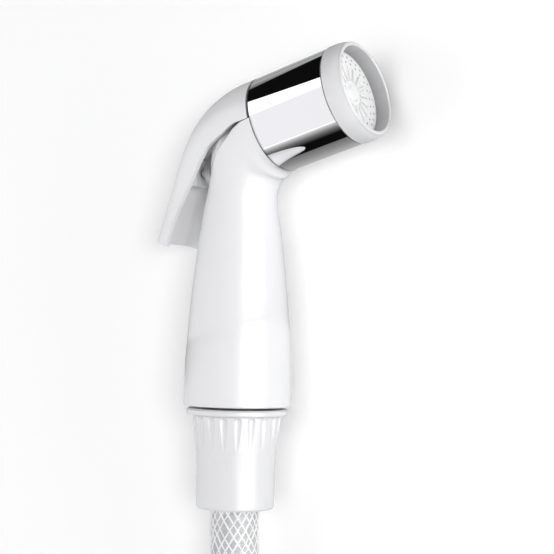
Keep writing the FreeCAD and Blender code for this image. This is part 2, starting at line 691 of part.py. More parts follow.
def lead_route(axis_height):
    """Points of the lead in the lying frame: out of the nut, down to the surface, to the coil."""
    first, second, third = LEAD_ROUTE_Y
    return [Vector(0, NUT_END_Z, axis_height), Vector(0, first, axis_height), Vector(0, second, HOSE_R),
            Vector(0, third, HOSE_R)]


def end_route():
    """Points of the end run: off the top turn, up a little, to the wall fitting."""
    y = COIL_CENTRE_Y - COIL_MEAN_R
    low = 3 * HOSE_R
    high = wall_axis_height()
    first, second, third = END_ROUTE_X
    return [Vector(COIL_MEAN_R, y, low), Vector(COIL_MEAN_R + first, y, low), Vector(COIL_MEAN_R + second, y, high),
            Vector(COIL_MEAN_R + third, y, high)]


def wall_axis_height():
    """Height of the wall fitting's axis: its nut lies on the coil's lower turn."""
    return 2 * HOSE_R + WALL_NUT_R + SEAT_GAP


def coil_sector(height, from_angle, to_angle):
    """Part of a ring as wide as the hose, with rounded corners."""
    wide = 2 * HOSE_R
    block = Part.makeBox(wide, 1, height, Vector(COIL_MEAN_R - HOSE_R, 0, 0))
    side = [face for face in block.Faces if face.BoundBox.YMax < 0.01][0]
    low = COIL_MEAN_R - HOSE_R
    high = COIL_MEAN_R + HOSE_R
    r = COIL_CORNER_R
    sink = r * (1 - math.sqrt(0.5))
    corners = (((low, r), (low + sink, sink), (low + r, 0)), ((high - r, 0), (high - sink, sink), (high, r)),
               ((high, height - r), (high - sink, height - sink), (high - r, height)),
               ((low + r, height), (low + sink, height - sink), (low, height - r)))
    edges = []
    for number, arc in enumerate(corners):
        points = [Vector(x, 0, z) for x, z in arc]
        edges.append(Part.Arc(*points).toShape())
        following = corners[(number + 1) % 4][0]
        edges.append(Part.LineSegment(points[2], Vector(following[0], 0, following[1])).toShape())
    face = Part.Face(Part.Wire(edges))
    sector = face.revolve(Vector(0, 0, 0), UPRIGHT, to_angle - from_angle)
    sector.rotate(Vector(0, 0, 0), UPRIGHT, from_angle)
    sector.translate(Vector(COIL_MEAN_R, COIL_CENTRE_Y, 0))
    return sector


def hose_coil():
    """Outer form of the coil: one turn on the surface, part of a second turn on it, and its lead in."""
    climbed, left = TOP_TURN_ANGLES
    tall = coil_sector(4 * HOSE_R, climbed, left)
    flat = coil_sector(2 * HOSE_R, left, climbed + 360)
    length = LEAD_ROUTE_Y[2] - COIL_CENTRE_Y
    lead = Part.makeCylinder(HOSE_R, length, Vector(0, COIL_CENTRE_Y, HOSE_R), ACROSS)
    return tall.fuse([flat, lead]).removeSplitter()


# Wall fitting, drawn along x from the hose's end

def along_x(shape):
    """Shape drawn down from z = 0, turned so that it runs forward from x = 0."""
    turned = shape.copy()
    turned.Placement = Placement(Vector(0, 0, 0), Rotation(Vector(0, 0, -1), FORWARD)).multiply(turned.Placement)
    return turned


def at_wall_end(shape):
    """Fitting drawn with the hose's end face at the origin, put at the end of the end run."""
    placed = shape.copy()
    placed.translate(end_route()[-1])
    return placed


def wall_tail():
    """Brass tail at the far end, pushed back into the hose, with the flange that the nut pulls on."""
    tail = barbed_tail(WALL_FLANGE_R, WALL_FLANGE_THICK, WALL_FERRULE_LENGTH + WALL_NECK)
    tail = along_x(tail)
    tail.rotate(Vector(0, 0, 0), UPRIGHT, 180)
    tail.translate(Vector(WALL_FERRULE_LENGTH + WALL_NECK + WALL_FLANGE_THICK, 0, 0))
    return at_wall_end(tail)


def wall_ferrule():
    """Bright crimped sleeve round the far end of the hose."""
    outer = HOSE_R + FERRULE_WALL
    end = WALL_FERRULE_LENGTH
    sleeve = turned_x(((0, HOSE_R), (0, outer - 0.4), (0.4, outer), (end - 1.2, outer), (end, outer - 1.2),
                       (end, TAIL_R + 0.4), (end - 0.8, TAIL_R + 0.4), (end - 0.8, HOSE_R)))
    return at_wall_end(sleeve)


def wall_grip():
    """Far end of the hose, gripped between the tail and the ferrule."""
    end = WALL_FERRULE_LENGTH - 0.8
    plug = turned_x(((0, TAIL_BORE_R), (0, HOSE_R), (end, HOSE_R), (end, TAIL_BORE_R)))
    return at_wall_end(plug).cut(wall_tail())


def wall_washer():
    """Rubber washer inside the wall nut."""
    start = WALL_FERRULE_LENGTH + WALL_NECK + WALL_FLANGE_THICK
    end = start + WALL_WASHER_THICK
    ring = turned_x(((start, TAIL_BORE_R + 1.0), (start, WALL_FLANGE_R), (end, WALL_FLANGE_R),
                     (end, TAIL_BORE_R + 1.0)))
    return at_wall_end(ring)


def wall_nut():
    """Six-sided nut with the female pipe thread that joins the water outlet."""
    flange_back = WALL_FERRULE_LENGTH + WALL_NECK
    back = WALL_FERRULE_LENGTH + 0.2
    front = back + WALL_NUT_LENGTH
    corner_r = WALL_NUT_FLATS / 2 / math.cos(math.pi / 6)
    corners = []
    for step in range(7):
        angle = math.pi / 3 * step
        corners.append(Vector(back, corner_r * math.cos(angle), corner_r * math.sin(angle)))
    block = Part.Face(Part.makePolygon(corners)).extrude(Vector(WALL_NUT_LENGTH, 0, 0))
    round_form = turned_x(((back, 0), (back, WALL_NUT_R - 1.0), (back + 1.0, WALL_NUT_R), (front - 1.0, WALL_NUT_R),
                           (front, WALL_NUT_R - 1.0), (front, 0)))
    lip = flange_back - 0.1
    seat = flange_back + WALL_FLANGE_THICK + WALL_WASHER_THICK
    hollow = turned_x(((back - 1, 0), (back - 1, WALL_LIP_R), (lip, WALL_LIP_R), (lip, WALL_RELIEF_R),
                       (seat, WALL_RELIEF_R), (seat, WALL_THREAD_R), (front + 1, WALL_THREAD_R), (front + 1, 0)))
    print("wall thread from", round(seat, 2), "to", round(front, 2))
    return at_wall_end(block.common(round_form).cut(hollow))


# Placing and writing

HANDSET = {
    "handle_body": handle_body, "lever": lever, "lever_pins": lever_pins, "head_sleeve": head_sleeve,
    "spray_ring": spray_ring, "spray_plate": spray_plate, "ring_seal": ring_seal, "flow_disc": flow_disc,
    "inlet_spigot": inlet_spigot, "inlet_strainer": inlet_strainer, "water_tube": water_tube,
    "tube_seals": tube_seals, "valve_gland": valve_gland, "stem_seal": stem_seal, "valve_stem": valve_stem,
    "valve_disc": valve_disc, "valve_spring": valve_spring, "hose_nut": hose_nut, "hose_washer": hose_washer,
    "hose_tail": hose_tail, "hose_ferrule": hose_ferrule, "hose_grip": hose_grip,
}

HOSE_SIDE = {
    "hose_coil": hose_coil, "wall_ferrule": wall_ferrule, "wall_grip": wall_grip, "wall_tail": wall_tail,
    "wall_washer": wall_washer, "wall_nut": wall_nut,
}


def lying(shape):
    """Handset piece laid on its side, with its axis at z = 0."""
    laid = shape.copy()
    laid.Placement = Placement(Vector(0, 0, 0), Rotation(FORWARD, -90)).multiply(laid.Placement)
    return laid


def main():
    """Build every piece, put the origin under the middle of the handset and write the files."""
    os.makedirs("parts", exist_ok=True)
    pieces = {name: lying(make()) for name, make in HANDSET.items()}
    boxes = [shape.optimalBoundingBox(False, False) for shape in pieces.values()]
    axis_height = -min(box.ZMin for box in boxes)
    middle_x = (min(box.XMin for box in boxes) + max(box.XMax for box in boxes)) / 2
    middle_y = (min(box.YMin for box in boxes) + max(box.YMax for box in boxes)) / 2
    for shape in pieces.values():
        shape.translate(Vector(0, 0, axis_height))
    pieces["hose"] = hose_run(lead_route(axis_height), "hose")
    pieces["hose_end"] = hose_run(end_route(), "hose_end")
    pieces.update({name: make() for name, make in HOSE_SIDE.items()})
    pivot = pivot_point()
    print("axis height", round(axis_height, 3), "shift", round(-middle_x, 3), round(-middle_y, 3))
    print("pivot", round(pivot.x - middle_x, 3), round(pivot.z - middle_y, 3))
    for name, shape in pieces.items():
        shape.translate(Vector(-middle_x, -middle_y, 0))
        shape.exportStep("parts/" + name + ".step")


main()
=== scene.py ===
import math
import random

import bmesh
import bpy
from mathutils import Matrix, Vector


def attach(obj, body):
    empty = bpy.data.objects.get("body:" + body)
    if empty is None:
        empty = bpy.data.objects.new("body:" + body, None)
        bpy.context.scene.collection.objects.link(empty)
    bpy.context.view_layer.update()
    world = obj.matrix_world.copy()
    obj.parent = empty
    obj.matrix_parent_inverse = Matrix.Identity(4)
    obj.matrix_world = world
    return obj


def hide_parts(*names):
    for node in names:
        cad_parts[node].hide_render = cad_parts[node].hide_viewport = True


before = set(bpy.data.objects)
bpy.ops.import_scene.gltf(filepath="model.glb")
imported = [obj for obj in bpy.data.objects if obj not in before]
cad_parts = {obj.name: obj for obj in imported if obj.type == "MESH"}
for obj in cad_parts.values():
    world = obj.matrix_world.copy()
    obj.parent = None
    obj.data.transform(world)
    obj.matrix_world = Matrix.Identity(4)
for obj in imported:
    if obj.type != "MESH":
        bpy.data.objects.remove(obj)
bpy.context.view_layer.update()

# All lengths are in metres. The row frame is shifted from the drawing frame of the handset, in which
# X = 0 and Y = 0 lie on the handle's axis at its foot.
MM = 0.001
SHIFT_X = -10.252 * MM
SHIFT_Y = -39.679 * MM
AXIS_HEIGHT = 17.088 * MM
HEAD_RISE = math.radians(15.05)
HEAD_START_Y = 85.1 * MM

# Camera, fitted to the outlines in the photo
PHOTO_WIDTH = 554
FOCAL_PIXELS = 1300
SENSOR = 36.0
CLIP_START = 0.01
CAMERA_PLACE = Vector((235.3 * MM + SHIFT_X, 23.4 * MM + SHIFT_Y, 337.9 * MM + AXIS_HEIGHT))
CAMERA_RIGHT = Vector((0.8368, 0.0211, -0.5470))
CAMERA_UP = Vector((0.0055, 0.9985, 0.0469))

# Hose: its clear sheath is a curve along the route
HOSE_R = 8.0 * MM
NUT_END_Y = -31.9 * MM
LEAD_Y = (-53.5 * MM, -92.0 * MM, -114.0 * MM)
COIL_R = 96.0 * MM
COIL_CENTRE_Y = -170.0 * MM
COIL_STEPS = 24
CLIMB_FROM = math.radians(305)
CLIMB_TO = math.radians(372)
COIL_END = math.radians(450)
END_X = (22.0 * MM, 44.0 * MM, 66.0 * MM)
WALL_AXIS_HEIGHT = 28.8 * MM
CURVE_STEPS = 12
SECTION_STEPS = 8

# Inner tube and braid under the sheath
CORE_R = 7.45 * MM
CORE_SIDES = 28
CORE_STEP = 3.0 * MM
STRAND_COUNT = 18
STRAND_STRAY = 0.22
STRAND_SEED = 7
STRAND_TURN = 72.0 * MM
STRAND_R = 7.62 * MM
STRAND_WAVE = 0.10 * MM
STRAND_HALF = 0.26 * MM
STRAND_WIDTHS = (0.8, 1.35)
STRAND_TOP_SHARE = 0.55
STRAND_THICK = 0.16 * MM
STRAND_STEPS_PER_TURN = 22


def camera_axes():
    """Camera's right, up and back directions, square to each other."""
    right = CAMERA_RIGHT.normalized()
    back = right.cross(CAMERA_UP).normalized()
    return right, back.cross(right), back


def make_camera():
    """Camera at the photo's place and angle."""
    data = bpy.data.cameras.new("camera")
    data.sensor_width = SENSOR
    data.lens = SENSOR * FOCAL_PIXELS / PHOTO_WIDTH
    data.clip_start = CLIP_START
    camera = bpy.data.objects.new("camera", data)
    bpy.context.scene.collection.objects.link(camera)
    turn = Matrix(camera_axes()).transposed()
    camera.matrix_world = Matrix.Translation(CAMERA_PLACE) @ turn.to_4x4()
    bpy.context.scene.camera = camera


def lead_points():
    """Hose from the nut down to the floor."""
    first, second, third = LEAD_Y
    return [
        Vector((0, NUT_END_Y, AXIS_HEIGHT)),
        Vector((0, first, AXIS_HEIGHT)),
        Vector((0, second, HOSE_R)),
        Vector((0, third, HOSE_R)),
        Vector((0, (third + COIL_CENTRE_Y) / 2, HOSE_R)),
    ]


def coil_points():
    """Hose round the coil, climbing over its own first stretch."""
    step = 2 * math.pi / COIL_STEPS
    reach = COIL_R / math.cos(step / 2)
    points = []
    for number in range(round(COIL_END / step)):
        turn = (number + 0.5) * step
        climb = min(max((turn - CLIMB_FROM) / (CLIMB_TO - CLIMB_FROM), 0.0), 1.0)
        height = HOSE_R + 2 * HOSE_R * climb * climb * (3 - 2 * climb)
        x = COIL_R + reach * math.cos(math.pi + turn)
        y = COIL_CENTRE_Y + reach * math.sin(math.pi + turn)
        points.append(Vector((x, y, height)))
    return points


def end_points():
    """Hose from the coil to the wall fitting."""
    heights = (3 * HOSE_R, WALL_AXIS_HEIGHT, WALL_AXIS_HEIGHT)
    return [Vector((COIL_R + x, COIL_CENTRE_Y - COIL_R, height)) for x, height in zip(END_X, heights)]


def hose_points():
    """Control points of the hose: out of the nut, down to the floor, round the coil, to the wall fitting."""
    shift = Vector((SHIFT_X, SHIFT_Y, 0))
    return [point + shift for point in lead_points() + coil_points() + end_points()]


def nurbs_curve(name, points, radius):
    """Open NURBS curve through the route's control points, with a round section."""
    data = bpy.data.curves.new(name, "CURVE")
    data.dimensions = "3D"
    data.resolution_u = CURVE_STEPS
    data.bevel_depth = radius
    data.bevel_resolution = SECTION_STEPS
    data.use_fill_caps = radius > 0
    spline = data.splines.new("NURBS")
    spline.points.add(len(points) - 1)
    for target, point in zip(spline.points, points):
        target.co = (*point, 1.0)
    spline.order_u = 3
    spline.use_endpoint_u = True
    curve = bpy.data.objects.new(name, data)
    bpy.context.scene.collection.objects.link(curve)
    return curve


def route_line(points):
    """Points read from the route's own curve, with no section."""
    curve = nurbs_curve("route_probe", points, 0.0)
    mesh = bpy.data.meshes.new_from_object(curve)
    line = [vertex.co.copy() for vertex in mesh.vertices]
    bpy.data.objects.remove(curve)
    bpy.data.meshes.remove(mesh)
    return line


def walk(line, step):
    """Places at even steps along a line, each with its distance, direction and two cross directions."""
    reached = [0.0]
    for a, b in zip(line, line[1:]):
        reached.append(reached[-1] + (b - a).length)
    total = reached[-1]
    count = max(2, round(total / step))
    side = Vector((1, 0, 0))
    places = []
    index = 0
    for number in range(count + 1):
        distance = total * number / count
        while index < len(line) - 2 and reached[index + 1] < distance:
            index += 1
        span = reached[index + 1] - reached[index]
        share = (distance - reached[index]) / span
        centre = line[index].lerp(line[index + 1], share)
        way = (line[index + 1] - line[index]).normalized()
        side = (side - way * side.dot(way)).normalized()
        places.append((distance, centre, way, side.copy(), way.cross(side)))
    return places


def link_mesh(name, mesh_maker):
    """New mesh object filled by a bmesh function, shaded smooth."""
    mesh = bpy.data.meshes.new(name)
    build = bmesh.new()
    mesh_maker(build)
    build.normal_update()
    build.to_mesh(mesh)
    build.free()
    for face in mesh.polygons:
        face.use_smooth = True
    piece = bpy.data.objects.new(name, mesh)
    bpy.context.scene.collection.objects.link(piece)
    return piece


def hose_core(line):
    """Inner tube of the hose, under the braid."""
    def build(mesh):
        rings = []
        for _, centre, _, side, other in walk(line, CORE_STEP):
            ring = []
            for number in range(CORE_SIDES):
                angle = 2 * math.pi * number / CORE_SIDES
                spoke = side * math.cos(angle) + other * math.sin(angle)
                ring.append(mesh.verts.new(centre + spoke * CORE_R))
            rings.append(ring)
        for low, high in zip(rings, rings[1:]):
            for number in range(CORE_SIDES):
                following = (number + 1) % CORE_SIDES
                mesh.faces.new((low[number], low[following], high[following], high[number]))
        mesh.faces.new(list(reversed(rings[0])))
        mesh.faces.new(rings[-1])
    return link_mesh("hose_core", build)


def strand_row(mesh, place, start, half, phase, way_round):
    """Four points across a strand at one place of the hose."""
    distance, centre, way, side, other = place
    turned = 2 * math.pi * distance / STRAND_TURN
    angle = start + way_round * turned
    spoke = side * math.cos(angle) + other * math.sin(angle)
    round_way = other * math.cos(angle) - side * math.sin(angle)
    along = (way * STRAND_TURN + round_way * way_round * 2 * math.pi * STRAND_R).normalized()
    across = spoke.cross(along) * half
    top_across = across * STRAND_TOP_SHARE
    radius = STRAND_R + STRAND_WAVE * math.sin(STRAND_COUNT * turned + phase)
    top = centre + spoke * radius
    low = centre + spoke * (radius - STRAND_THICK)
    spots = (low - across, top - top_across, top + top_across, low + across)
    return [mesh.verts.new(spot) for spot in spots]


def hose_strands(name, line, way_round):
    """Braid strands wound one way round the hose, rising and dipping at each crossing."""
    def build(mesh):
        places = walk(line, STRAND_TURN / STRAND_STEPS_PER_TURN)
        chance = random.Random(STRAND_SEED + way_round)
        for strand in range(STRAND_COUNT):
            stray = chance.uniform(-STRAND_STRAY, STRAND_STRAY)
            start = 2 * math.pi * (strand + stray) / STRAND_COUNT
            half = STRAND_HALF * chance.uniform(*STRAND_WIDTHS)
            phase = math.pi * (strand + (way_round > 0))
            rows = [strand_row(mesh, place, start, half, phase, way_round) for place in places]
            for low, high in zip(rows, rows[1:]):
                for number in range(len(low) - 1):
                    mesh.faces.new((low[number], low[number + 1], high[number + 1], high[number]))
    return link_mesh(name, build)


# Materials. A solid finish has a broad noise for its tone and a finer one for its roughness and its bump. The
# clear sheath has one noise for its tone and its roughness. The painted shade gives how near another surface
# has to be to darken the tone as painted shade in crevices and seams, and how strongly it does.

FINE_RATIO = 14
BROAD_DETAIL = 3.0
FINE_DETAIL = 4.0
TONE_FROM = 0.3
TONE_TO = 0.7
BUMP_DEPTH = 0.05 * MM
SHEATH_TONES = ((0.93, 0.93, 0.95), (1.0, 1.0, 1.0))
SHEATH_ROUGH = (0.08, 0.14)
SHEATH_GRAIN = 60.0
SHEATH_ALPHA = 0.10


def new_material(name):
    """Node material with its principled shader."""
    material = bpy.data.materials.new(name)
    material.use_nodes = True
    nodes = material.node_tree.nodes
    return material, nodes, material.node_tree.links, nodes["Principled BSDF"]


def node_math(nodes, links, operation, first, second):
    """Math node; a number is set on its socket, anything else is linked to it."""
    node = nodes.new("ShaderNodeMath")
    node.operation = operation
    for socket, value in zip(node.inputs, (first, second)):
        if isinstance(value, (int, float)):
            socket.default_value = value
        else:
            links.new(value, socket)
    return node.outputs[0]


def noise_node(nodes, links, scale, detail):
    """Noise in object coordinates."""
    place = nodes.new("ShaderNodeTexCoord")
    noise = nodes.new("ShaderNodeTexNoise")
    noise.inputs["Scale"].default_value = scale
    noise.inputs["Detail"].default_value = detail
    links.new(place.outputs["Object"], noise.inputs["Vector"])
    return noise.outputs["Fac"]


def tone_ramp(nodes, links, source, tones):
    """Colour between two tones, led by a noise."""
    ramp = nodes.new("ShaderNodeValToRGB")
    for element, position, tone in zip(ramp.color_ramp.elements, (TONE_FROM, TONE_TO), tones):
        element.position = position
        element.color = (*tone, 1)
    links.new(source, ramp.inputs["Fac"])
    return ramp.outputs["Color"]


def range_node(nodes, links, source, low, high, from_low=0.0, from_high=1.0):
    """Node that maps a value from one range to another."""
    span = nodes.new("ShaderNodeMapRange")
    for socket, value in (("From Min", from_low), ("From Max", from_high), ("To Min", low), ("To Max", high)):
        span.inputs[socket].default_value = value
    links.new(source, span.inputs["Value"])
    return span


def bump_node(nodes, links, source, strength):
    """Bump from a height."""
    bump = nodes.new("ShaderNodeBump")
    bump.inputs["Strength"].default_value = strength
    bump.inputs["Distance"].default_value = BUMP_DEPTH
    links.new(source, bump.inputs["Height"])
    return bump.outputs["Normal"]


def painted_crevice_shade(nodes, links, colour, reach, power):
    """Painted shade: colour that darkens where another surface is closer than the reach."""
    near = nodes.new("ShaderNodeAmbientOcclusion")
    near.inputs["Distance"].default_value = reach
    scaled = nodes.new("ShaderNodeVectorMath")
    scaled.operation = "SCALE"
    links.new(colour, scaled.inputs[0])
    links.new(node_math(nodes, links, "POWER", near.outputs["AO"], power), scaled.inputs["Scale"])
    return scaled.outputs["Vector"]


def solid_material(name, tones, rough, grain, metallic=0.0, bump=0.0, painted_shade=None):
    """Moulded, turned or plated finish: slight changes of tone and roughness, and a fine surface; painted
    shade in crevices where given.
    """
    material, nodes, links, shader = new_material(name)
    fine = noise_node(nodes, links, grain * FINE_RATIO, FINE_DETAIL)
    colour = tone_ramp(nodes, links, noise_node(nodes, links, grain, BROAD_DETAIL), tones)
    # Painted shade: darker tone where another surface is near.
    if painted_shade:
        colour = painted_crevice_shade(nodes, links, colour, *painted_shade)
    links.new(colour, shader.inputs["Base Color"])
    links.new(range_node(nodes, links, fine, *rough).outputs["Result"], shader.inputs["Roughness"])
    shader.inputs["Metallic"].default_value = metallic
    if bump > 0:
        links.new(bump_node(nodes, links, fine, bump), shader.inputs["Normal"])
    return material


def sheath_material():
    """Clear glossy plastic: see-through, with a sheen at its surface."""
    material, nodes, links, shader = new_material("clear_sheath")
    broad = noise_node(nodes, links, SHEATH_GRAIN, BROAD_DETAIL)
    links.new(tone_ramp(nodes, links, broad, SHEATH_TONES), shader.inputs["Base Color"])
    links.new(range_node(nodes, links, broad, *SHEATH_ROUGH).outputs["Result"], shader.inputs["Roughness"])
    shader.inputs["Alpha"].default_value = SHEATH_ALPHA
    return material


# Painted shade darkens the tone of these finishes in crevices, recesses and seams between parts.
WHITE = solid_material(
    "white_plastic", tones=((0.83, 0.83, 0.84), (0.85, 0.85, 0.86)), rough=(0.235, 0.25), grain=30.0,
    painted_shade=(2.5 * MM, 1.0))
# The ring's plastic is a darker copy of the white plastic: painted shade on its sides and in its recess.
RING_WHITE_SHADED = solid_material(
    "ring_plastic_painted_shade", tones=((0.74, 0.74, 0.75), (0.76, 0.76, 0.77)), rough=(0.245, 0.265), grain=32.0,
    painted_shade=(12.0 * MM, 1.4))
# The plate's plastic is a lighter copy of the white plastic: painted light on the plate, with slight painted
# shade in its holes.
PLATE_WHITE_LIT = solid_material(
    "plate_plastic_painted_light", tones=((0.88, 0.88, 0.89), (0.91, 0.91, 0.91)), rough=(0.24, 0.26), grain=32.0,
    painted_shade=(1.0 * MM, 0.6))
# The nut's plastic is a darker copy of the white plastic: painted shade over the nut.
NUT_WHITE_SHADED = solid_material(
    "nut_plastic", tones=((0.77, 0.77, 0.78), (0.79, 0.79, 0.80)), rough=(0.24, 0.26), grain=34.0,
    painted_shade=(0.7 * MM, 1.6))
CHROME = solid_material(
    "chrome", tones=((0.90, 0.90, 0.915), (0.93, 0.93, 0.94)), rough=(0.015, 0.03), grain=25.0,
    metallic=1.0, painted_shade=(1.0 * MM, 4.0))
SATIN_CHROME = solid_material(
    "satin_chrome", tones=((0.62, 0.62, 0.64), (0.72, 0.72, 0.74)), rough=(0.12, 0.18), grain=60.0,
    metallic=1.0, bump=0.02, painted_shade=(3.0 * MM, 1.5))
SATIN = solid_material(
    "satin_plate", tones=((0.60, 0.60, 0.61), (0.64, 0.64, 0.65)), rough=(0.5, 0.55), grain=60.0,
    metallic=1.0)
STEEL = solid_material(
    "steel", tones=((0.55, 0.55, 0.57), (0.66, 0.66, 0.68)), rough=(0.22, 0.34), grain=90.0,
    metallic=1.0, bump=0.05)
# The thread steel's dark tone is painted shade in the gap between the handle's foot and the hose nut; its
# roughness is dull steel.
THREAD_STEEL_GAP_SHADE = solid_material(
    "dull_thread_steel_painted_shade", tones=((0.10, 0.10, 0.105), (0.16, 0.16, 0.165)), rough=(0.45, 0.6), grain=90.0,
    metallic=0.6, bump=0.1)
BRASS = solid_material(
    "brass", tones=((0.72, 0.56, 0.27), (0.82, 0.66, 0.34)), rough=(0.18, 0.28), grain=80.0,
    metallic=1.0, bump=0.04)
RUBBER = solid_material(
    "rubber", tones=((0.02, 0.02, 0.02), (0.035, 0.035, 0.035)), rough=(0.55, 0.7), grain=120.0, bump=0.15)
BRAID_GREY = solid_material(
    "braid_grey", tones=((0.38, 0.38, 0.39), (0.54, 0.54, 0.55)), rough=(0.35, 0.5), grain=500.0, bump=0.2)
STRAND_WHITE = solid_material(
    "strand_white", tones=((0.84, 0.84, 0.85), (0.92, 0.92, 0.92)), rough=(0.3, 0.42), grain=500.0, bump=0.2)
SHEATH = sheath_material()

FINISH_NODES = (
    (WHITE, ("handle_body", "lever", "flow_disc", "water_tube")),
    (RING_WHITE_SHADED, ("spray_ring",)),
    (PLATE_WHITE_LIT, ("spray_plate",)),
    (NUT_WHITE_SHADED, ("hose_nut",)),
    (CHROME, ("head_sleeve",)),
    (SATIN_CHROME, ("wall_nut",)),
    (SATIN, ("lever_pins", "valve_gland", "valve_stem")),
    (STEEL, ("inlet_strainer", "valve_spring", "hose_ferrule", "wall_ferrule")),
    (THREAD_STEEL_GAP_SHADE, ("inlet_spigot",)),
    (BRASS, ("hose_tail", "wall_tail")),
    (RUBBER, ("ring_seal", "tube_seals", "stem_seal", "valve_disc", "hose_washer", "wall_washer")),
    (BRAID_GREY, ("hose_grip", "wall_grip", "hose", "hose_coil", "hose_end")),
)


def finish_nodes():
    """Material on every CAD node."""
    for material, names in FINISH_NODES:
        for name in names:
            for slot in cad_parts[name].material_slots:
                slot.link = "OBJECT"
                slot.material = material


# Floor and surroundings. The lift is light that the floor gives off to the camera alone.

FLOOR_HALF = 2.5
FLOOR_TONE = 0.80
FLOOR_SEEN_TONE = 1.0
FLOOR_ROUGHNESS = 0.9
FLOOR_LIFT = 0.085
FLOOR_FAR_LIFT = 1.0
FAR_FROM = 0.30
FAR_TO = 0.75
# Painted shadow on the floor close under the object: its reach and its darkest tone.
PAINTED_CONTACT_SHADE_REACH = 9 * MM
PAINTED_CONTACT_SHADE_TONE = 0.62
SKY_TONE = (0.98, 0.98, 1.0)
SKY_LOW = 0.38
SKY_HIGH = 0.16
SKY_LOW_Y = -0.4
SKY_HIGH_Y = 1.0
GLOSS_SKY = 0.95
SEEN_SKY = 1.0


def floor_colour(nodes, links, seen):
    """Floor's tone: white to the camera, with a painted shadow that darkens it close under the object."""
    tone = range_node(nodes, links, seen, FLOOR_TONE, FLOOR_SEEN_TONE)
    near = nodes.new("ShaderNodeAmbientOcclusion")
    near.inputs["Distance"].default_value = PAINTED_CONTACT_SHADE_REACH
    contact = range_node(nodes, links, near.outputs["AO"], PAINTED_CONTACT_SHADE_TONE, 1.0)
    return node_math(nodes, links, "MULTIPLY", tone.outputs["Result"], contact.outputs["Result"])


def floor_lift(nodes, links, seen):
    """Light from the floor to the camera, slight near the object and full far away."""
    place = nodes.new("ShaderNodeTexCoord")
    away = nodes.new("ShaderNodeVectorMath")
    away.operation = "LENGTH"
    links.new(place.outputs["Object"], away.inputs[0])
    far = range_node(nodes, links, away.outputs["Value"], FLOOR_LIFT, FLOOR_FAR_LIFT, FAR_FROM, FAR_TO)
    far.interpolation_type = "SMOOTHSTEP"
    lift = nodes.new("ShaderNodeEmission")
    lift.inputs["Color"].default_value = (1, 1, 1, 1)
    links.new(node_math(nodes, links, "MULTIPLY", seen, far.outputs["Result"]), lift.inputs["Strength"])
    return lift.outputs[0]


def make_floor():
    """White floor: keeps the object's soft shadow, adds a painted shadow close under it, and looks white
    where nothing is close above it.
    """
    def build(mesh):
        corners = ((-1, -1), (1, -1), (1, 1), (-1, 1))
        mesh.faces.new([mesh.verts.new((x * FLOOR_HALF, y * FLOOR_HALF, 0)) for x, y in corners])
    floor = link_mesh("floor", build)
    material, nodes, links, shader = new_material("floor_white")
    shader.inputs["Roughness"].default_value = FLOOR_ROUGHNESS
    shader.inputs["Specular IOR Level"].default_value = 0.0
    seen = nodes.new("ShaderNodeLightPath").outputs["Is Camera Ray"]
    links.new(floor_colour(nodes, links, seen), shader.inputs["Base Color"])
    both = nodes.new("ShaderNodeAddShader")
    links.new(shader.outputs[0], both.inputs[0])
    links.new(floor_lift(nodes, links, seen), both.inputs[1])
    links.new(both.outputs[0], nodes["Material Output"].inputs["Surface"])
    floor.data.materials.append(material)


def make_world():
    """White surroundings, dimmer towards the head's side; even in reflections and white to the camera."""
    world = bpy.data.worlds.new("world")
    world.use_nodes = True
    nodes, links = world.node_tree.nodes, world.node_tree.links
    background = nodes["Background"]
    background.inputs["Color"].default_value = (*SKY_TONE, 1)
    place = nodes.new("ShaderNodeTexCoord")
    parts = nodes.new("ShaderNodeSeparateXYZ")
    links.new(place.outputs["Generated"], parts.inputs[0])
    sky = range_node(nodes, links, parts.outputs["Y"], SKY_LOW, SKY_HIGH, SKY_LOW_Y, SKY_HIGH_Y)
    path = nodes.new("ShaderNodeLightPath")
    strength = sky.outputs["Result"]
    for ray, level in (("Is Glossy Ray", GLOSS_SKY), ("Is Camera Ray", SEEN_SKY)):
        mixed = nodes.new("ShaderNodeMix")
        links.new(path.outputs[ray], mixed.inputs["Factor"])
        links.new(strength, mixed.inputs["A"])
        mixed.inputs["B"].default_value = level
        strength = mixed.outputs["Result"]
    links.new(strength, background.inputs["Strength"])
    bpy.context.scene.world = world


# Lamps and the card on the right. Each stands at an angle in degrees from the camera's direction towards the
# picture's right, and at a distance from the middle line, which is X = 0 at the handle's height. y is its
# place along that line.
LAMPS = {
    "front": dict(angle=9, distance=0.8, y=0.0, size=(0.22, 0.22), radiance=17.0, casts=True),
    "key": dict(angle=46, distance=0.7, y=0.0, size=(0.9, 0.30), radiance=2.3, casts=True),
    "fill": dict(angle=-88, distance=0.9, y=-0.1, size=(0.8, 0.8), radiance=2.0, casts=False),
    "fill_near": dict(angle=-60, distance=0.9, y=-0.1, size=(0.5, 0.5), radiance=0.6, casts=False),
}
RIGHT_CARD = dict(angles=(6, 112), distance=0.6, low_y=-0.4, high_y=0.35, tone=5.0)

